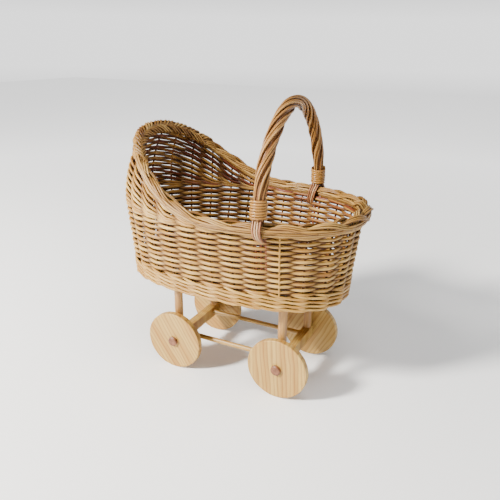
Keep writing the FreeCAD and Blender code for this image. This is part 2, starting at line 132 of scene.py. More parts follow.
STICK_SHORTEST = 170.0
STICK_LONGEST = 430.0
DARKEST_STICK = 0.36
# DEEP_REACH, DEEPEST and FLANK_FROM shape the painted shade in the middle of the weave, on inward faces and on
# the flanks between rods.
DEEP_REACH = 2.2
DEEPEST = 1.25
FLANK_FROM = 0.5
GRAIN_SPREAD = 400


def stick_tones(run):
    """One tone for each length of willow along a run, which is pieced together from several rods."""
    joins = np.cumsum(rng.uniform(STICK_SHORTEST, STICK_LONGEST, int(run[-1] / STICK_SHORTEST) + 2))
    tones = rng.uniform(DARKEST_STICK, 1.0, len(joins) + 1)
    return tones[np.searchsorted(joins, run)]


class Rods:
    """Round rods along given paths, in one mesh with a tone, a depth (the strength of painted shade) and a
    grain place on each point.
    """

    def __init__(self, name, node_names, material, slot, sides=8, painted_inside_shade=0.22):
        self.name = name
        self.nodes = node_names
        self.material = material
        self.slot = slot
        self.sides = sides
        self.painted_inside_shade = painted_inside_shade
        self.points, self.faces, self.tones, self.depths, self.grains = [], [], [], [], []
        self.caps = []
        self.count = 0

    def add(self, path, radius, side, closed=False, tone=None, flat=1.0, face=None, reach=0.0, groove=None):
        """A rod along the path; the side vectors say where its section's first corner points.

        Given the wall's outward vectors and how far out the path runs, points in the middle of the weave get
        painted shade through the depth attribute, and inward faces a lower tone as painted shade. Given vectors
        toward the neighbouring rods, the flanks that face them get painted shade too.
        """
        path = np.asarray(path, dtype=float)
        number = len(path)
        radius = np.broadcast_to(radius, (number,))
        if closed:
            along = np.roll(path, -1, axis=0) - np.roll(path, 1, axis=0)
            steps = np.linalg.norm(np.roll(path, -1, axis=0) - path, axis=1)
        else:
            along = np.gradient(path, axis=0)
            steps = np.linalg.norm(np.diff(path, axis=0), axis=1)
        along = unit(along)
        side = np.broadcast_to(side, path.shape)
        side = unit(side - along * np.sum(side * along, axis=1, keepdims=True))
        other = np.cross(along, side)
        angle = 2 * math.pi * np.arange(self.sides) / self.sides
        ring = np.cos(angle)[None, :, None] * side[:, None] * flat
        ring = ring + np.sin(angle)[None, :, None] * other[:, None]
        points = path[:, None] + ring * radius[:, None, None]
        run = np.concatenate([[0.0], np.cumsum(steps)])[:number]
        tone = stick_tones(run) if tone is None else np.full(number, tone)
        tone = np.repeat(tone[:, None], self.sides, axis=1)
        depth = np.zeros(tone.shape)
        # Painted shade: darker where the rod lies in the middle of the weave, and a lower tone on faces that
        # point inwards.
        if face is not None:
            out = np.sum(ring * face[:, None], axis=2) * radius[:, None]
            out = out + np.broadcast_to(reach, (number,))[:, None]
            depth = np.clip(DEEPEST - np.abs(out) / DEEP_REACH, 0.0, 1.0)
            tone = np.clip(tone - self.painted_inside_shade * np.clip(-out / DEEP_REACH, 0.0, 1.0), 0.0, 1.0)
        # Painted shade on the flanks that face the neighbouring rods.
        if groove is not None:
            flank = np.abs(np.sum(ring * groove[:, None], axis=2))
            depth = np.clip((flank - FLANK_FROM) / (1 - FLANK_FROM), 0.0, 1.0)
        shift = rng.random(3) * GRAIN_SPREAD
        around = np.stack([np.cos(angle), np.sin(angle)], axis=-1) * radius.mean()
        grain = np.empty((number, self.sides, 3))
        grain[..., 0] = run[:, None] + shift[0]
        grain[..., 1] = around[None, :, 0] + shift[1]
        grain[..., 2] = around[None, :, 1] + shift[2]
        index = self.count + np.arange(number * self.sides).reshape(number, self.sides)
        turned = np.roll(index, -1, axis=1)
        if closed:
            after, after_turned = np.roll(index, -1, axis=0), np.roll(turned, -1, axis=0)
            quads = np.stack([index, turned, after_turned, after], axis=-1)
        else:
            quads = np.stack([index[:-1], turned[:-1], turned[1:], index[1:]], axis=-1)
            self.caps.append(index[0][::-1])
            self.caps.append(index[-1])
        self.points.append(points.reshape(-1, 3))
        self.faces.append(quads.reshape(-1, 4))
        self.tones.append(tone.ravel())
        self.depths.append(depth.ravel())
        self.grains.append(grain.reshape(-1, 3))
        self.count += number * self.sides

    def build(self):
        """Makes the Blender object, replaces its CAD nodes and lets it ride."""
        points = np.concatenate(self.points) * MM
        quads = np.concatenate(self.faces)
        caps = np.array(self.caps).reshape(-1, self.sides)
        mesh = bpy.data.meshes.new(self.name)
        mesh.vertices.add(len(points))
        mesh.vertices.foreach_set("co", points.ravel())
        corner_list = np.concatenate([quads.ravel(), caps.ravel()])
        mesh.loops.add(len(corner_list))
        mesh.loops.foreach_set("vertex_index", corner_list.astype(np.int32))
        starts = np.concatenate([np.arange(len(quads)) * 4, quads.size + np.arange(len(caps)) * self.sides])
        mesh.polygons.add(len(starts))
        mesh.polygons.foreach_set("loop_start", starts.astype(np.int32))
        smooth = np.concatenate([np.ones(len(quads), bool), np.zeros(len(caps), bool)])
        mesh.polygons.foreach_set("use_smooth", smooth)
        mesh.update(calc_edges=True)
        mesh.validate()
        # tone: each stick's own tone, lowered on inward faces as painted shade; depth: the strength of the
        # painted shade.
        tone = mesh.attributes.new("tone", "FLOAT", "POINT")
        tone.data.foreach_set("value", np.concatenate(self.tones).astype(np.float32))
        depth = mesh.attributes.new("depth", "FLOAT", "POINT")
        depth.data.foreach_set("value", np.concatenate(self.depths).astype(np.float32))
        grain = mesh.attributes.new("grain", "FLOAT_VECTOR", "POINT")
        grain.data.foreach_set("vector", np.concatenate(self.grains).astype(np.float32).ravel())
        piece = bpy.data.objects.new(self.name, mesh)
        bpy.context.scene.collection.objects.link(piece)
        piece.data.materials.append(self.material)
        if self.nodes:
            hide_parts(*self.nodes)
        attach(piece, BODY)
        return piece


# ---------------------------------------------------------------- materials


def new_material(name, roughness, specular=0.5):
    """A node material with its shader, and the tree to add to."""
    material = bpy.data.materials.new(name)
    material.use_nodes = True
    tree = material.node_tree
    shader = tree.nodes["Principled BSDF"]
    shader.inputs["Roughness"].default_value = roughness
    shader.inputs["Specular IOR Level"].default_value = specular
    return material, tree, shader


def node(tree, kind, inputs=None, **settings):
    made = tree.nodes.new(kind)
    for name, value in settings.items():
        setattr(made, name, value)
    for name, value in (inputs or {}).items():
        if isinstance(value, bpy.types.NodeSocket):
            tree.links.new(value, made.inputs[name])
        else:
            made.inputs[name].default_value = value
    return made


def ramp(tree, factor, stops):
    """A colour ramp; stops are (position, colour) pairs."""
    made = node(tree, "ShaderNodeValToRGB", {"Fac": factor})
    elements = made.color_ramp.elements
    while len(elements) < len(stops):
        elements.new(0.5)
    for element, (position, colour) in zip(elements, stops):
        element.position = position
        element.color = (*colour, 1.0)
    return made.outputs["Color"]


def mix(tree, factor, first, second, blend="MIX"):
    made = node(tree, "ShaderNodeMix", data_type="RGBA", blend_type=blend)
    for socket, value in ((made.inputs[0], factor), (made.inputs[6], first), (made.inputs[7], second)):
        if isinstance(value, bpy.types.NodeSocket):
            tree.links.new(value, socket)
        else:
            socket.default_value = value
    return made.outputs[2]


def math_node(tree, operation, first, second):
    made = node(tree, "ShaderNodeMath", operation=operation)
    for socket, value in ((made.inputs[0], first), (made.inputs[1], second)):
        if isinstance(value, bpy.types.NodeSocket):
            tree.links.new(value, socket)
        else:
            socket.default_value = value
    return made.outputs[0]


def stretched(tree, place, scale):
    return node(tree, "ShaderNodeMapping", {"Vector": place, "Scale": scale}).outputs["Vector"]


def noise(tree, place, detail, scale=1.0):
    return node(tree, "ShaderNodeTexNoise", {"Vector": place, "Scale": scale, "Detail": detail}).outputs["Fac"]


def relief(tree, shader, height, strength, depth):
    """Gives the shader a bump from a height; its depth is in millimetres."""
    made = node(tree, "ShaderNodeBump", {"Height": height, "Strength": strength, "Distance": depth * MM})
    tree.links.new(made.outputs["Normal"], shader.inputs["Normal"])


# Multiplied into the willow where the depth attribute is high: painted shade in the weave's hollows and between
# rods.
PAINTED_SHADE_TINT = (0.17, 0.09, 0.055, 1.0)
WILLOW_SPECULAR = 0.32


def willow(name, pale, honey, brown, roughness=0.42, streak=0.4, bump=0.3, painted_shade=PAINTED_SHADE_TINT):
    """Peeled willow: each rod has its own tone, with fibres along it and a few darker blotches and knots; where
    the depth attribute is high the colour is darkened by a painted shade tint.
    """
    material, tree, shader = new_material(name, roughness, WILLOW_SPECULAR)
    tone = node(tree, "ShaderNodeAttribute", attribute_name="tone").outputs["Fac"]
    grain = node(tree, "ShaderNodeAttribute", attribute_name="grain").outputs["Vector"]
    base = ramp(tree, tone, [(0.0, brown), (0.3, honey), (0.6, honey), (1.0, pale)])
    fibre = noise(tree, stretched(tree, grain, (0.06, 2.2, 2.2)), 4.0)
    dark = mix(tree, 1.0, base, (0.62, 0.46, 0.32, 1.0), "MULTIPLY")
    fibre_mask = ramp(tree, fibre, [(0.42, (0, 0, 0)), (0.72, (1, 1, 1))])
    streaked = mix(tree, math_node(tree, "MULTIPLY", fibre_mask, streak * 2), base, dark)
    blotch = noise(tree, stretched(tree, grain, (0.035, 0.3, 0.3)), 2.0)
    blotch_mask = ramp(tree, blotch, [(0.55, (0, 0, 0)), (0.75, (1, 1, 1))])
    blotched = mix(tree, math_node(tree, "MULTIPLY", blotch_mask, 0.45), streaked, (*brown, 1.0))
    # Painted shade: the colour is multiplied towards the tint where the depth attribute is high.
    depth = node(tree, "ShaderNodeAttribute", attribute_name="depth").outputs["Fac"]
    shaded = mix(tree, depth, blotched, mix(tree, 1.0, blotched, painted_shade, "MULTIPLY"))
    tree.links.new(shaded, shader.inputs["Base Color"])
    rough = math_node(tree, "MULTIPLY_ADD", fibre, 0.2)
    rough.node.inputs[2].default_value = roughness - 0.1
    tree.links.new(rough, shader.inputs["Roughness"])
    relief(tree, shader, fibre, bump, 0.15)
    return material


def plank(name, angle, pale, dark, middle=(0.0, 0.0, 0.0), ring_size=0.0046, roughness=0.45, seed=0.0):
    """Flat-sawn pine seen across Y: wavy growth lines at an angle in the XZ plane, with fine pores."""
    material, tree, shader = new_material(name, roughness)
    place = node(tree, "ShaderNodeTexCoord").outputs["Object"]
    from_middle = node(tree, "ShaderNodeVectorMath", {0: place, 1: middle}, operation="SUBTRACT")
    from_middle = from_middle.outputs["Vector"]
    turned = node(
        tree,
        "ShaderNodeMapping",
        {"Vector": from_middle, "Rotation": (0.0, angle, 0.0), "Location": (seed, seed, seed)},
    ).outputs["Vector"]
    slow = stretched(tree, turned, (70.0, 70.0, 14.0))
    warp = node(tree, "ShaderNodeTexNoise", {"Vector": slow, "Scale": 1.0, "Detail": 2.0}).outputs["Color"]
    bend = (1.6 * ring_size,) * 3
    bent = node(tree, "ShaderNodeVectorMath", {0: warp, 1: bend, 2: turned}, operation="MULTIPLY_ADD")
    bent = bent.outputs["Vector"]
    wave = node(
        tree,
        "ShaderNodeTexWave",
        {"Vector": bent, "Scale": 0.314 / ring_size, "Distortion": 3.5, "Detail": 2.0, "Detail Scale": 0.25},
        wave_type="BANDS",
        bands_direction="X",
        wave_profile="SAW",
    ).outputs["Fac"]
    broad = noise(tree, stretched(tree, bent, (90.0, 90.0, 3.0)), 1.0)
    base = ramp(tree, wave, [(0.0, pale), (0.45, pale), (0.88, dark), (1.0, pale)])
    warm = mix(tree, 1.0, base, (0.80, 0.66, 0.50, 1.0), "MULTIPLY")
    base = mix(tree, ramp(tree, broad, [(0.4, (0, 0, 0)), (0.62, (1, 1, 1))]), base, warm)
    fibre = noise(tree, stretched(tree, turned, (2600.0, 2600.0, 60.0)), 3.0)
    pores = ramp(tree, fibre, [(0.3, (0.80, 0.74, 0.66)), (0.65, (1, 1, 1))])
    tree.links.new(mix(tree, 0.7, base, mix(tree, 1.0, base, pores, "MULTIPLY")), shader.inputs["Base Color"])
    height = math_node(tree, "ADD", fibre, math_node(tree, "MULTIPLY", wave, -0.6))
    relief(tree, shader, height, 0.25, 0.1)
    return material


def dowel(name, pale, dark, along, roughness=0.4):
    """A turned hardwood dowel: fine streaks along one axis (0, 1 or 2) and soft broad shading."""
    material, tree, shader = new_material(name, roughness)
    place = node(tree, "ShaderNodeTexCoord").outputs["Object"]
    fine_scale = [1700.0] * 3
    fine_scale[along] = 45.0
    broad_scale = [260.0] * 3
    broad_scale[along] = 18.0
    fine = noise(tree, stretched(tree, place, fine_scale), 4.0)
    broad = noise(tree, stretched(tree, place, broad_scale), 2.0)
    base = ramp(tree, broad, [(0.3, dark), (0.7, pale)])
    streaks = ramp(tree, fine, [(0.35, (0.66, 0.55, 0.45)), (0.6, (1, 1, 1))])
    streaked = mix(tree, 0.8, base, mix(tree, 1.0, base, streaks, "MULTIPLY"))
    tree.links.new(streaked, shader.inputs["Base Color"])
    relief(tree, shader, fine, 0.2, 0.08)
    return material


def steel(name):
    """Zinc-plated steel with a faint patchy plating."""
    material, tree, shader = new_material(name, 0.35)
    shader.inputs["Metallic"].default_value = 1.0
    place = node(tree, "ShaderNodeTexCoord").outputs["Object"]
    patch = noise(tree, place, 3.0, scale=700.0)
    colour = ramp(tree, patch, [(0.3, (0.26, 0.25, 0.23)), (0.7, (0.42, 0.41, 0.38))])
    tree.links.new(colour, shader.inputs["Base Color"])
    relief(tree, shader, patch, 0.1, 0.05)
    return material


# BROWN is the darkest willow tone, and inward faces are pushed towards it as painted shade.
PALE = (0.62, 0.405, 0.125)
HONEY = (0.40, 0.215, 0.044)
BROWN = (0.16, 0.038, 0.012)
wall_willow = willow("willow_wall", PALE, HONEY, BROWN)
# The last tint given to the border and strap willow is painted shade between their rods.
border_willow = willow(
    "willow_border",
    (0.54, 0.34, 0.10),
    (0.36, 0.19, 0.042),
    (0.14, 0.052, 0.012),
    painted_shade=(0.17, 0.09, 0.05, 1.0),
)
handle_willow = willow("willow_handle", (0.52, 0.30, 0.09), (0.31, 0.145, 0.034), (0.12, 0.036, 0.009))
strap_willow = willow(
    "willow_strap", (0.60, 0.38, 0.20), (0.33, 0.14, 0.06), (0.12, 0.03, 0.012), painted_shade=(0.11, 0.05, 0.035, 1.0)
)
base_willow = willow("willow_base", (0.48, 0.28, 0.10), (0.34, 0.17, 0.05), (0.14, 0.05, 0.015))
cane = willow("cane_wrap", (0.52, 0.29, 0.07), (0.40, 0.20, 0.045), (0.20, 0.08, 0.02), roughness=0.3)

# ---------------------------------------------------------------- stakes

STAKES = 28
STAKE_PHASE = 0.25
STAKE_R = 1.2
ROD_R = 1.56
TALL = 1.15
SWING = 2.15
MIDDLE = -WALL / 2


def stake_turns():
    """Turns of the stakes, evenly spaced round the wall at mid height."""
    turn = np.linspace(0.0, 2 * math.pi, 8001)
    points = wall_point(turn, (foot_low + rim_level) / 2, MIDDLE)
    run = np.concatenate([[0.0], np.cumsum(np.linalg.norm(np.diff(points, axis=0), axis=1))])
    return np.interp((np.arange(STAKES) + STAKE_PHASE) * run[-1] / STAKES, run, turn)


turns = stake_turns()


def outward(turn, level):
    """Level unit vectors square to the wall's oval."""
    step = 1e-3
    along = wall_point(turn + step, level, MIDDLE) - wall_point(turn - step, level, MIDDLE)
    return unit(np.stack([along[..., 1], -along[..., 0], np.zeros(np.shape(along)[:-1])], axis=-1))


CORNER_STAKE_X = 74.0
CORNER_STAKE_OUT = 2.9
CORNER_STAKE_R = 0.9
CORNER_STAKE_RISE = 14.0
HANDLE_ROD_SHIFTS = (-4.6, 0.0, 4.6)
HANDLE_ROD_REACH = 46.0
HANDLE_ROD_OFFSET = MIDDLE
HANDLE_ROD_R = 1.15


def side_stakes():
    """Upright stakes from under the foot up into the border, and the ends of the handle's rods."""
    rods = Rods("side_stakes", ["side_wall"], wall_willow, "willow_wall")
    handle_x = (rope_low_corner[0] + rope_high_corner[0]) / 2
    for turn in turns:
        top = float(edge_level(np.array([turn]), MIDDLE, -3.0)[0])
        level = np.linspace(foot_low + 1.0, top, 22)
        path = wall_point(turn, level, MIDDLE)
        path = path + outward(turn, level) * rng.normal(0, 0.12)
        face = outward(turn, level)
        # Stakes take only the darkest tones as painted shade, for the shade they sit in within the weave's
        # holes, and the face vectors add the depth's painted shade.
        rods.add(path, STAKE_R * np.linspace(1.08, 0.9, len(level)), face, face=face, tone=0.3 * rng.random())
    spots = wall_point(turns, (foot_low + rim_level) / 2, MIDDLE)
    corner = turns[np.argmin(np.abs(spots[:, 0] - CORNER_STAKE_X) + 100.0 * (spots[:, 1] > 0))]
    level = np.linspace(foot_low + CORNER_STAKE_RISE, rim_level - BORDER_HEIGHT / 2 + 1.0, 26)
    path = wall_point(corner, level, MIDDLE) + outward(corner, level) * CORNER_STAKE_OUT
    rods.add(path, CORNER_STAKE_R, outward(corner, level), tone=0.6)
    level = np.linspace(rim_level - HANDLE_ROD_REACH, rim_level - 4.0, 16)
    for end in (0.0, 2 * math.pi):
        dense = np.linspace(math.pi, end, 600)
        across = wall_point(dense, level[0], MIDDLE)[:, 0]
        for shift in HANDLE_ROD_SHIFTS:
            turn = np.interp(handle_x + shift, across, dense)
            face = outward(turn, level)
            rods.add(wall_point(turn, level, HANDLE_ROD_OFFSET), HANDLE_ROD_R, face, tone=0.0)
    rods.build()


# ---------------------------------------------------------------- weaving

STEPS = 9
BULGE = 0.12


def weave_path(first, count, stake_level, side_of, swing=SWING, closed=True, lift=None):
    """A rod that runs past stakes: side_of gives +1 outside or -1 inside each, stake_level its height."""
    number = count if closed else count - 1
    ids = (first + np.arange(count + (1 if closed else 0)))
    turn = turns[ids % STAKES] + 2 * math.pi * (ids // STAKES)
    level = np.array([stake_level(i) for i in ids])
    side = np.array([side_of(i) for i in ids])
    share = np.arange(STEPS) / STEPS
    here, there = slice(0, number), slice(1, number + 1)

    def blend(values):
        return values[here][:, None] * (1 - share) + values[there][:, None] * share

    flat_turn, flat_level = blend(turn).ravel(), blend(level).ravel()
    curve = wall_point(flat_turn, flat_level, MIDDLE)
    knots = wall_point(turn, level, MIDDLE)
    chord = knots[here][:, None] * (1 - share[:, None]) + knots[there][:, None] * share[:, None]
    path = chord.reshape(-1, 3) * (1 - BULGE) + curve * BULGE
    path[:, 2] = flat_level
    wave = np.cos(math.pi * share)
    wave = np.sign(wave) * np.abs(wave) ** 0.9
    first_side, next_side = side[here][:, None], side[there][:, None]
    away = np.where(first_side == next_side, first_side + 0 * share, first_side * wave).ravel()
    face = outward(flat_turn, flat_level)
    path = path + face * (away * swing)[:, None]
    if lift is not None:
        path[:, 2] += np.concatenate([lift(i, share) for i in ids[:number]])
    if not closed:
        last_face = outward(turn[-1], level[-1])
        path = np.vstack([path, knots[-1] + last_face * side[-1] * swing])
        face = np.vstack([face, last_face])
        away = np.append(away, side[-1])
    return path, face, away * swing


def wobble(number, size, waves):
    """A smooth seeded wander round a closed run."""
    place = np.linspace(0, 2 * math.pi, number, endpoint=False)
    total = np.zeros(number)
    for wave in range(2, waves):
        total += rng.normal() / wave * np.sin(wave * place + rng.random() * 2 * math.pi)
    return total * size


ROW = 3.05
WALE_TOP = 127.2
flat_top = edge_level(np.array([0.0]), MIDDLE, -BORDER_HEIGHT / 2)[0] - 1.9


def flat_weave():
    """Level rows, over one stake and under the next, alternating from row to row."""
    # Inward faces of the level rows get a painted shade.
    rods = Rods("side_weave_level", [], wall_willow, "willow_wall", painted_inside_shade=0.34)
    rows = int(round((flat_top - WALE_TOP) / ROW)) + 1
    for row in range(rows):
        level = WALE_TOP + (flat_top - WALE_TOP) * row / (rows - 1)
        wander = {i: rng.normal(0, 0.18) for i in range(STAKES)}
        path, face, reach = weave_path(
            0, STAKES, lambda i: level + wander[i % STAKES], lambda i: 1 if (i + row) % 2 else -1
        )
        number = len(path)
        around = np.linspace(0, 2 * math.pi, number, endpoint=False) + rng.random() * 6
        radius = ROD_R * (1 + 0.06 * np.sin(around))
        radius = radius * (0.97 + 0.06 * rng.random())
        # face and reach give the rows painted shade in the middle of the weave.
        rods.add(path, radius, UP, closed=True, flat=TALL, face=face, reach=reach)
    rods.build()
    return rows


HOOD_ROW = 3.35
HOOD_TALL = 1.04
SOFT = 6.0
LEAST_RISE = 1.3


def hood_weave(rows_below):
    """Rows packed in behind, each shorter than the last, that follow the opening's edge up over the hood."""
    # The hood's rows get a stronger painted shade on their inward faces, for the shade inside the hood.
    rods = Rods("side_weave_hood", [], wall_willow, "willow_wall", painted_inside_shade=0.62)
    all_ids = np.arange(STAKES)
    top = edge_level(turns, MIDDLE, -BORDER_HEIGHT / 2)
    rise = top - flat_top
    most = rise.max()
    rows = int(most / HOOD_ROW)
    for row in range(1, rows + 1):
        drop = most * (1 - row / rows)
        level = flat_top + SOFT * np.log1p(np.exp(np.clip((rise - drop) / SOFT, -30, 30)))
        level = np.minimum(level, np.maximum(rise, 0) + flat_top)
        inside = all_ids[level - flat_top > LEAST_RISE]
        if len(inside) < 4:
            continue
        first, last = inside.min() - 1, inside.max() + 1
        wander = {i: rng.normal(0, 0.22) for i in all_ids}

        def stake_level(i, level=level, wander=wander):
            return level[i % STAKES] + wander[i % STAKES]

        def side_of(i, row=row):
            return 1 if (i + row + rows_below) % 2 else -1

        path, face, reach = weave_path(first, last - first + 1, stake_level, side_of, closed=False)
        taper = np.minimum(1.0, np.minimum(np.arange(len(path)), np.arange(len(path))[::-1]) / 14 + 0.55)
        # face and reach give the hood rows painted shade in the middle of the weave.
        rods.add(path, ROD_R * 0.97 * taper, UP, flat=HOOD_TALL, face=face, reach=reach)
    rods.build()


WALE_ROWS = (111.3, 115.8, 120.3, 124.6)
WALE_RODS = 3
WALE_RADII = (1.5, 1.45, 1.4, 1.4)
WALE_DROP = 2.1
WALE_SWING = SWING + 0.7
FOOTING = ((110.2, -3.0), (113.6, -4.2), (117.0, -4.4), (120.5, -4.4))


def wale():
    """Slanted rows at the foot: one long run goes round three times, over two stakes and behind one."""
    rods = Rods("foot_wale", ["foot_ring"], wall_willow, "willow_wall")
    for row, (middle, radius) in enumerate(zip(WALE_ROWS, WALE_RADII)):

        def phase(i, row=row):
            return (i + row) % WALE_RODS

        def side_of(i):
            return -1 if phase(i) == 0 else 1

        def lift(i, share):
            place = (phase(i) + share) / WALE_RODS
            return WALE_DROP * np.cos(2 * math.pi * (place - 0.12))

        laps = STAKES * WALE_RODS
        path, face, reach = weave_path(0, laps, lambda i: middle, side_of, swing=WALE_SWING, lift=lift)
        # face and reach give the wale painted shade in the middle of the weave.
        rods.add(path, radius, UP, closed=True, face=face, reach=reach)
    around = np.linspace(0, 2 * math.pi, STAKES * STEPS, endpoint=False)
    for level, offset in FOOTING:
        rods.add(wall_point(around, level, offset + wobble(len(around), 0.2, 12)), ROD_R, UP, closed=True)
    rods.build()


# ---------------------------------------------------------------- plaited border

def smooth_line(points, count):
    """A Catmull-Rom line through a few points."""
    points = np.asarray(points, dtype=float)
    padded = np.vstack([2 * points[0] - points[1], points, 2 * points[-1] - points[-2]])
    spans = len(points) - 1
    place = np.linspace(0, spans - 1e-6, count)
    i = place.astype(int)
    t = (place - i)[:, None]
    a, b, c, d = padded[i], padded[i + 1], padded[i + 2], padded[i + 3]
    return 0.5 * (2 * b + (c - a) * t + (2 * a - 5 * b + 4 * c - d) * t**2 + (3 * b - a - 3 * c + d) * t**3)


PLAIT_STRANDS = 3
PLAIT_RODS = 3
PLAIT_ROD_R = 1.08
PLAIT_SPACING = 2.1
PLAIT_WIDE = 4.2
PLAIT_HIGH = 1.5
PLAIT_LIFT = 1.9
HOOD_LIFT = -0.6
HOOD_DROP = 2.6
HOOD_PITCH = 40.0
FLAT_PITCH = 104.0
SIDE_TILT = math.radians(20.0)
BACK_TILT = math.radians(40.0)
FRONT_START = 92.0
FRONT_OVER = 30.0
HOOD_FROM = 22.0
HOOD_OVER = 36.0
TILT_OVER = 40.0
CORE_R = 1.3
CORE_SPOTS = (
    (-5.2, 0.2), (-4.6, -2.2), (-3.1, -4.1), (-0.9, -5.0), (1.6, -5.0),
    (3.8, -3.8), (4.9, -1.6), (5.2, 0.5), (-1.9, -1.3), (1.9, -1.3),
)


def rim_line(count):
    """The border's middle line, its side vectors, and how far each point belongs to the hood and the front."""
    turn = np.linspace(0, 2 * math.pi, count, endpoint=False)
    middle = wall_point(turn, edge_level(turn, 0.0, 0.0), 0.0)
    along = unit(np.roll(middle, -1, axis=0) - np.roll(middle, 1, axis=0))
    out = unit(np.cross(along, UP))
    up = np.cross(out, along)
    hood = np.clip((middle[:, 2] - rim_level - HOOD_FROM) / HOOD_OVER, 0, 1)
    front = np.clip((middle[:, 0] - FRONT_START) / FRONT_OVER, 0, 1)
    raised = np.clip((middle[:, 2] - rim_level) / TILT_OVER, 0, 1)
    tilt = (raised * (SIDE_TILT + BACK_TILT * np.clip(-out[:, 0], 0, 1) ** 2))[:, None]
    out, up = out * np.cos(tilt) + up * np.sin(tilt), up * np.cos(tilt) - out * np.sin(tilt)
    return middle - UP * (HOOD_DROP * hood)[:, None], along, out, up, hood, front


def border_plait():
    """Three flat strands plaited over the core: tight round the hood, long at the sides, loose in front."""
    count = 800
    middle, _, out, up, hood, front = rim_line(count)
    steps = np.linalg.norm(np.roll(middle, -1, axis=0) - middle, axis=1)
    pitch = FLAT_PITCH + (HOOD_PITCH - FLAT_PITCH) * hood
    phase = np.concatenate([[0.0], np.cumsum(steps / pitch)])
    phase = phase[:-1] * round(phase[-1]) / phase[-1] * 2 * math.pi
    rods = Rods("rim_plait", ["rim_border"], border_willow, "willow_border")
    for strand in range(PLAIT_STRANDS):
        angle = phase + 2 * math.pi * strand / PLAIT_STRANDS
        wide = PLAIT_WIDE * (1 + 0.1 * (1 - hood) + 0.25 * front) + wobble(count, 0.25, 9)
        high = PLAIT_HIGH * (1 + 0.9 * front + 0.3 * (1 - hood))
        lift = PLAIT_LIFT + (HOOD_LIFT - PLAIT_LIFT) * hood + 1.2 * front + wobble(count, 0.3, 9)
        path = middle + out * (wide * np.sin(angle))[:, None]
        path = path + up * (high * np.sin(2 * angle) + lift)[:, None]
        run_along = unit(np.roll(path, -1, axis=0) - np.roll(path, 1, axis=0))
        face = unit(up + out * (0.85 * np.sin(angle))[:, None])
        across = unit(np.cross(face, run_along))
        for rod in range(PLAIT_RODS):
            place = rod - (PLAIT_RODS - 1) / 2
            shift = place * PLAIT_ROD_R * PLAIT_SPACING + wobble(count, 0.25, 12)
            rise = -0.12 * place**2 + wobble(count, 0.2, 12)
            line = path + across * shift[:, None] + face * rise[:, None]
            # groove gives painted shade on the flanks between neighbouring rods.
            rods.add(line, PLAIT_ROD_R, face, closed=True, groove=across)
    rods.build()


HERRING_FROM = 0.62
HERRING_STEP = 17.5
HERRING_R = 1.25
OUTER_BUNDLE = (
    (0.0, 3.9, -4.2), (1.0, 6.6, -0.8), (3.8, 5.9, 1.6),
    (9.6, 2.0, 3.4), (13.4, -0.9, 1.6), (16.0, -2.6, -1.2),
)
INNER_BUNDLE = (
    (0.0, -4.1, -4.2), (1.6, -6.6, -0.8), (5.4, -5.7, 1.5),
    (13.6, -1.4, 3.4), (18.4, 1.2, 1.6), (21.5, 2.8, -1.2),
)


def hood_herringbone():
    """Bundles that come over the hood's two edges and meet along the middle of its border."""
    middle, _, out, up, hood, _ = rim_line(1600)
    run = np.concatenate([[0.0], np.cumsum(np.linalg.norm(np.diff(middle, axis=0), axis=1))])
    zone = run[hood > HERRING_FROM]
    rods = Rods("rim_hood_herringbone", [], border_willow, "willow_border")

    def at(values, place):
        return np.stack([np.interp(place, run, values[:, i]) for i in range(3)], axis=-1)

    for bundle in range(int((zone[-1] - zone[0]) / HERRING_STEP)):
        for shape, number, shift in ((OUTER_BUNDLE, 3, 0.0), (INNER_BUNDLE, 3, 0.4)):
            start = zone[0] + (bundle + shift) * HERRING_STEP + rng.normal(0, 0.35)
            tone = rng.uniform(0.15, 1.0)
            for rod in range(number):
                line = smooth_line(np.array(shape) + rng.normal(0, 0.16, (len(shape), 3)), 26)
                place = start + rod * HERRING_STEP / (number + 0.5) + line[:, 0]
                face = at(up, place)
                path = at(middle, place) + at(out, place) * line[:, 1:2] + face * line[:, 2:3]
                across = np.cross(face, unit(np.gradient(path, axis=0)))
                rod_tone = np.clip(tone + rng.normal(0, 0.12), 0, 1)
                # groove gives painted shade on the flanks between neighbouring rods.
                rods.add(path, HERRING_R * rng.uniform(0.94, 1.06), face, tone=rod_tone, groove=across)
    rods.build()


def border_core():
    """Long rods side by side under the plait, seen between its strands and from below."""
    count = 500
    middle, along, out, up, _, _ = rim_line(count)
    rods = Rods("rim_core", [], border_willow, "willow_border")
    for out_shift, up_shift in CORE_SPOTS:
        line = middle + out * (out_shift + wobble(count, 0.3, 14))[:, None]
        line = line + up * (up_shift + wobble(count, 0.3, 14))[:, None]
        inward = unit(-out * out_shift - up * up_shift)
        groove = np.cross(along, inward)
        # groove gives painted shade on the flanks between neighbouring rods.
        rods.add(line, CORE_R * (0.95 + 0.1 * rng.random()), inward, closed=True, groove=groove)
    rods.build()


# ---------------------------------------------------------------- base

BASE_ROW = 2.75
BASE_ROD_R = 1.5
BASE_SWING = 1.9
BASE_STICK_R = 1.3
LONG_STICK_REACH = 0.86
LONG_STICK_LIFT = 2.9
SHORTEST_BASE_ROD = 8
LAST_CROSS_STICK = 0.93


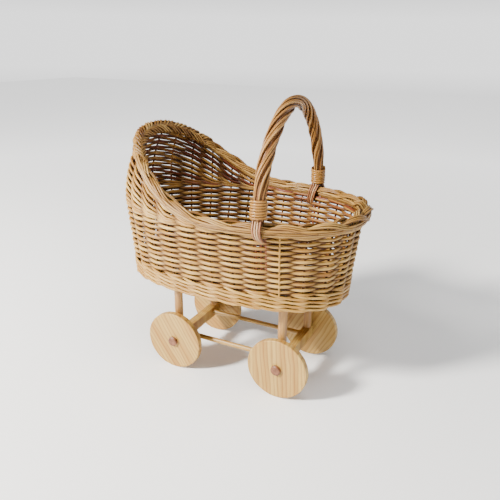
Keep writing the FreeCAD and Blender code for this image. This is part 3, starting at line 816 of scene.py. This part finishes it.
def base_mat():
    """The bottom: rods along the basket, over and under the crosswise sticks, with three long sticks on top."""
    rods = Rods("base_weave", ["base_plate"], base_willow, "willow_base")
    low, high = plate_low_corner, plate_high_corner
    middle_z = (low[2] + high[2]) / 2
    rear, front = ((np.add(*corners(f"{end}_left_post")))[0] / 2 for end in ("rear", "front"))
    space = (front - rear) / 4
    crossings = rear + space * (np.arange(-1, 7) - 0.5)
    half_length = (high[0] - low[0]) / 2
    half_width = high[1]
    lines = int(half_width * 2 / BASE_ROW)
    for line in range(lines):
        y = -half_width + BASE_ROW * (line + 0.5) + (2 * half_width - BASE_ROW * lines) / 2
        reach = half_length * (1 - (abs(y) / half_width) ** BASE_POWER) ** (1 / BASE_POWER) - 0.5
        if reach < SHORTEST_BASE_ROD:
            continue
        x = np.linspace(base_x - reach, base_x + reach, max(int(reach / 1.6), 8))
        place = (x - crossings[0]) / space
        sign = 1 if line % 2 else -1
        z = middle_z + sign * BASE_SWING * np.cos(math.pi * place)
        path = np.stack([x, np.full_like(x, y) + rng.normal(0, 0.1), z], axis=-1)
        rods.add(path, BASE_ROD_R, UP)
    rods.build()
    sticks = Rods("base_cross_sticks", ["base_sticks"], base_willow, "willow_base")
    for x in crossings:
        inside = abs(x - base_x) / half_length
        if inside > LAST_CROSS_STICK:
            continue
        reach = half_width * (1 - inside**BASE_POWER) ** (1 / BASE_POWER) - 1.0
        path = np.stack([np.full(9, x), np.linspace(-reach, reach, 9), np.full(9, middle_z)], axis=-1)
        sticks.add(path, BASE_STICK_R, UP)
    gap = (corners("front_right_post")[0] - corners("front_left_post")[0])[1] / 4
    for y in (-gap, 0.0, gap):
        reach = half_length * LONG_STICK_REACH
        x = np.linspace(-reach, reach, 9) + base_x
        path = np.stack([x, np.full(9, y), np.full(9, middle_z + LONG_STICK_LIFT)], axis=-1)
        sticks.add(path, BASE_STICK_R, UP)
    sticks.build()


# ---------------------------------------------------------------- handle

ROPE_RODS = 13
WAIST = 0.12
ROPE_ROD_R = 1.24
TWIST_PITCH = 112.0
ARCH_EASING = 18.5
STRAIGHT_END = 14.0
TWIST_OVER = 34.0


def arch():
    """Middle line of the handle: two side arcs and a tighter top arc, with its length along it."""
    wrap_low, wrap_high = corners("right_handle_wrap")
    rope_r = (rope_high_corner[0] - rope_low_corner[0]) / 2
    half = rope_high_corner[1] - rope_r
    low = rope_low_corner[2]
    rise = rope_high_corner[2] - rope_r - low
    small = min(half, rise) - ARCH_EASING
    large = (min(half, rise) ** 2 + (max(half, rise) - small) ** 2 - small**2) / (2 * ARCH_EASING)
    side_r, top_r = (large, small) if rise > half else (small, large)
    side_middle = np.array([half - side_r, 0.0])
    top_middle = np.array([0.0, rise - top_r])
    toward = unit(top_middle - side_middle) * math.copysign(1.0, side_r - top_r)
    join = math.atan2(toward[1], toward[0])
    side_turn = np.linspace(0, join, 90)
    top_turn = np.linspace(join, math.pi / 2, 60)[1:]
    side = side_middle + side_r * np.stack([np.cos(side_turn), np.sin(side_turn)], axis=-1)
    top = top_middle + top_r * np.stack([np.cos(top_turn), np.sin(top_turn)], axis=-1)
    right = np.vstack([side, top])
    line = np.vstack([right, (right * [-1, 1])[::-1][1:]])
    x = (rope_low_corner[0] + rope_high_corner[0]) / 2
    points = np.column_stack([np.full(len(line), x), line[:, 0], low + line[:, 1]])
    run = np.concatenate([[0.0], np.cumsum(np.linalg.norm(np.diff(points, axis=0), axis=1))])
    even = np.linspace(0, run[-1], 360)
    points = np.stack([np.interp(even, run, points[:, i]) for i in range(3)], axis=-1)
    return points, even, rope_r, wrap_high[2] - wrap_low[2]


arch_points, arch_run, rope_r, wrap_height = arch()
arch_along = unit(np.gradient(arch_points, axis=0))
arch_side = np.broadcast_to(np.array([1.0, 0.0, 0.0]), arch_points.shape)
arch_out = np.cross(arch_side, arch_along)


def rope():
    """Rods twisted round the bow, running straight where they go into the wraps."""
    rods = Rods("handle_rope_rods", ["handle_rope", "handle_bow"], handle_willow, "willow_handle")
    length = arch_run[-1]
    ends = np.minimum(arch_run, length - arch_run)
    rate = np.clip((ends - STRAIGHT_END) / TWIST_OVER, 0, 1)
    rate = rate * rate * (3 - 2 * rate)
    turned = np.cumsum(np.diff(arch_run) * (rate[1:] + rate[:-1]) / 2)
    twist = np.concatenate([[0.0], turned]) / TWIST_PITCH
    reach = rope_r - ROPE_ROD_R + 0.1
    squeeze = 1 - WAIST * np.exp(-(((ends - wrap_height - 2.0) / 9.0) ** 2)) - 0.05 * (1 - rate)
    for rod in range(ROPE_RODS):
        angle = 2 * math.pi * (rod / ROPE_RODS - twist) + 0.25 * math.sin(rod * 2.3)
        around = arch_side * np.cos(angle)[:, None] + arch_out * np.sin(angle)[:, None]
        wander = 1 + 0.03 * np.sin(arch_run / 19.0 + rod * 1.7)
        path = arch_points + around * (reach * squeeze * wander)[:, None]
        radius = ROPE_ROD_R * (0.95 + 0.1 * rng.random()) * squeeze
        # groove gives painted shade on the flanks between neighbouring rods.
        rods.add(path, radius, around, groove=np.cross(arch_along, around))
    rods.add(arch_points, rope_r - 2 * ROPE_ROD_R + 0.5, arch_side, tone=0.1)
    rods.build()


WRAP_TURNS = 8


def wraps():
    """Fine cane wound round each foot of the handle."""
    for side in ("left", "right"):
        rods = Rods(f"{side}_cane_wrap", [f"{side}_handle_wrap"], cane, "cane_wrap", sides=10)
        low, high = corners(f"{side}_handle_wrap")
        wrap_r = (high[0] - low[0]) / 2
        line, run, across = arch_points, arch_run, arch_out
        if side == "left":
            line, across = arch_points[::-1], arch_out[::-1]
        cane_r = wrap_height / WRAP_TURNS / 2
        turn_at = np.linspace(0, 1, WRAP_TURNS * 40)
        height = cane_r + turn_at * (wrap_height - 2 * cane_r)
        centre = np.stack([np.interp(height, run, line[:, i]) for i in range(3)], axis=-1)
        out = np.stack([np.interp(height, run, across[:, i]) for i in range(3)], axis=-1)
        angle = 2 * math.pi * turn_at * (WRAP_TURNS - 1)
        around = np.array([1.0, 0.0, 0.0]) * np.cos(angle)[:, None] + out * np.sin(angle)[:, None]
        swell = 1 + 0.025 * np.sin(angle * 0.37 + 1.0)
        path = centre + around * ((wrap_r - cane_r * 0.7) * swell)[:, None]
        # groove gives painted shade on the flanks between neighbouring turns of cane.
        rods.add(path, cane_r * 1.06, around, tone=0.6, flat=0.7, groove=np.broadcast_to(UP, path.shape))
        rods.build()


STRAP_RODS = 4
STRAP_ROD_R = 1.15
STRAP_SPACING = 2.2
OUTER_STRAP = ((6.6, 4.6), (8.6, 1.0), (8.3, -3.4), (5.6, -7.6), (1.2, -10.6), (-2.2, -12.4))
INNER_STRAP = ((-6.6, 4.6), (-8.8, 1.0), (-9.3, -4.0), (-8.8, -9.0), (-6.4, -13.0), (-3.4, -15.4))
STRAP_FACES = (("outer", 1, OUTER_STRAP, 4.5), ("inner", -1, INNER_STRAP, -7.0))


def straps():
    """Rods from under each wrap, round the border on both faces, drawn together where they enter the weave."""
    handle_x = (rope_low_corner[0] + rope_high_corner[0]) / 2
    share = abs((handle_x - rim_x) / rim_half_length) ** RIM_POWER
    rim_y = rim_half_width * (1 - share) ** (1 / RIM_POWER)
    for side, sign in (("left", -1), ("right", 1)):
        foot = arch_points[0 if sign > 0 else -1]
        above = foot[2] - rim_level
        start = abs(foot[1]) - rim_y
        for face, way, shape, slant in STRAP_FACES:
            rods = Rods(f"{side}_{face}_strap_rods", [f"{side}_{face}_strap"], strap_willow, "willow_handle")
            spots = np.array([(start + way * 1.0, above + 5.0), (start + way * 3.4, above + 0.5), *shape])
            drift = np.linspace(0.0, 1.0, len(spots))
            for rod in range(STRAP_RODS):
                x = (rod - (STRAP_RODS - 1) / 2) * STRAP_ROD_R * STRAP_SPACING
                across_x = handle_x + x * (1 - 0.3 * drift**2) + slant * drift
                points = np.column_stack([across_x, sign * (rim_y + spots[:, 0]), rim_level + spots[:, 1]])
                line = smooth_line(points, 40)
                across = np.broadcast_to(np.array([1.0, 0.0, 0.0]), line.shape)
                # groove gives painted shade on the flanks between neighbouring rods.
                rods.add(line, STRAP_ROD_R, across, tone=0.3 + 0.7 * rng.random(), groove=across)
            rods.build()


# ---------------------------------------------------------------- wooden frame

PINE_PALE = (0.52, 0.335, 0.088)
PINE_DARK = (0.35, 0.19, 0.042)
DOWEL_PALE = (0.48, 0.27, 0.075)
DOWEL_DARK = (0.31, 0.145, 0.036)
GRAIN_ANGLES = {
    "front_left_wheel": 4.0,
    "rear_left_wheel": 33.0,
    "front_right_wheel": -28.0,
    "rear_right_wheel": 52.0,
}


def dress(node_name, material):
    """Gives a CAD node a finished material."""
    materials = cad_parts[node_name].data.materials
    materials.clear()
    materials.append(material)


def frame_materials():
    for number, (name, angle) in enumerate(GRAIN_ANGLES.items()):
        low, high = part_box(name)
        middle = tuple((a + b) / 2 for a, b in zip(low, high))
        seed = 0.013 * (number + 1)
        material = plank(f"pine_{name}", math.radians(angle), PINE_PALE, PINE_DARK, middle, seed=seed)
        dress(name, material)
    beam_pine = plank("pine_beams", 0.0, PINE_PALE, PINE_DARK, ring_size=0.0028)
    post_wood = dowel("dowel_posts", DOWEL_PALE, DOWEL_DARK, 2)
    rail_wood = dowel("dowel_rails", PINE_PALE, PINE_DARK, 0)
    pin_wood = dowel("dowel_pins", (0.27, 0.11, 0.05), (0.14, 0.05, 0.022), 1)
    zinc = steel("zinc_steel")
    for end in ("front", "rear"):
        dress(f"{end}_axle_beam", beam_pine)
        for side in ("left", "right"):
            dress(f"{end}_{side}_post", post_wood)
            dress(f"{end}_{side}_axle_pin", pin_wood)
    for side in ("left", "right"):
        dress(f"{side}_rail", rail_wood)
    dress("post_screws", zinc)
    dress("post_washers", zinc)


# ---------------------------------------------------------------- stage


def floor():
    """A plain pale floor that glows more with distance, towards a white background."""
    half = 4.0
    square = [(-half, -half, 0), (half, -half, 0), (half, half, 0), (-half, half, 0)]
    mesh = bpy.data.meshes.new("floor")
    mesh.from_pydata(square, [], [(0, 1, 2, 3)])
    piece = bpy.data.objects.new("floor", mesh)
    bpy.context.scene.collection.objects.link(piece)
    material, tree, shader = new_material("floor_white", 0.9, 0.1)
    shader.inputs["Base Color"].default_value = (0.93, 0.93, 0.93, 1.0)
    shader.inputs["Emission Color"].default_value = (1.0, 1.0, 1.0, 1.0)
    place = node(tree, "ShaderNodeTexCoord").outputs["Object"]
    away = node(tree, "ShaderNodeVectorMath", {0: place}, operation="LENGTH").outputs["Value"]
    glow = node(tree, "ShaderNodeMapRange", {"Value": away, "From Min": 0.25, "From Max": 1.4, "To Max": 1.2})
    glow.inputs["To Min"].default_value = 0.12
    tree.links.new(glow.outputs["Result"], shader.inputs["Emission Strength"])
    piece.data.materials.append(material)


def area_light(name, place, target, size, power, colour=(1.0, 1.0, 1.0)):
    data = bpy.data.lights.new(name, "AREA")
    data.shape = "DISK"
    data.size = size
    data.energy = power
    data.color = colour
    light = bpy.data.objects.new(name, data)
    bpy.context.scene.collection.objects.link(light)
    light.location = place
    light.rotation_mode = "QUATERNION"
    light.rotation_quaternion = (Vector(target) - Vector(place)).to_track_quat("-Z", "Y")


def lights():
    middle = (0.0, 0.0, 0.15)
    area_light("key", (-0.80, -1.05, 1.0), middle, 0.28, 84.0, (1.0, 0.97, 0.91))
    area_light("top", (0.35, -0.25, 1.5), middle, 0.8, 13.0)
    area_light("rear_fill", (0.9, 0.9, 0.9), middle, 1.0, 3.0)
    world = bpy.data.worlds.new("studio")
    bpy.context.scene.world = world
    world.use_nodes = True
    tree = world.node_tree
    direction = node(tree, "ShaderNodeTexCoord").outputs["Generated"]
    height = node(tree, "ShaderNodeSeparateXYZ", {"Vector": direction}).outputs["Z"]
    steepness = math_node(tree, "ABSOLUTE", height, 0.0)
    glow = ramp(tree, steepness, [(0.04, (1.0, 1.0, 1.0)), (0.2, (0.08, 0.08, 0.08))])
    tree.links.new(glow, tree.nodes["Background"].inputs["Color"])
    tree.nodes["Background"].inputs["Strength"].default_value = 1.8


CAMERA_PLACE = (0.2542, -0.5027, 0.3558)
CAMERA_AZIMUTH = 26.0
CAMERA_ELEVATION = 21.0
CAMERA_ROLL = 0.8
CAMERA_LENS = 38.79


def camera():
    data = bpy.data.cameras.new("camera")
    data.lens = CAMERA_LENS
    data.sensor_width = 36.0
    made = bpy.data.objects.new("camera", data)
    bpy.context.scene.collection.objects.link(made)
    azimuth, elevation, roll = (math.radians(a) for a in (CAMERA_AZIMUTH, CAMERA_ELEVATION, CAMERA_ROLL))
    level = math.cos(elevation)
    back = Vector((math.sin(azimuth) * level, -math.cos(azimuth) * level, math.sin(elevation)))
    right = Vector((math.cos(azimuth), math.sin(azimuth), 0.0))
    up = back.cross(right)
    turned_right = right * math.cos(roll) + up * math.sin(roll)
    turned_up = -right * math.sin(roll) + up * math.cos(roll)
    axes = Matrix((turned_right, turned_up, back)).transposed()
    made.matrix_world = Matrix.Translation(Vector(CAMERA_PLACE)) @ axes.to_4x4()
    data.clip_start = 0.01
    data.clip_end = 20.0
    bpy.context.scene.camera = made


side_stakes()
hood_weave(flat_weave())
wale()
border_plait()
hood_herringbone()
border_core()
base_mat()
rope()
wraps()
straps()
frame_materials()
floor()
lights()
camera()
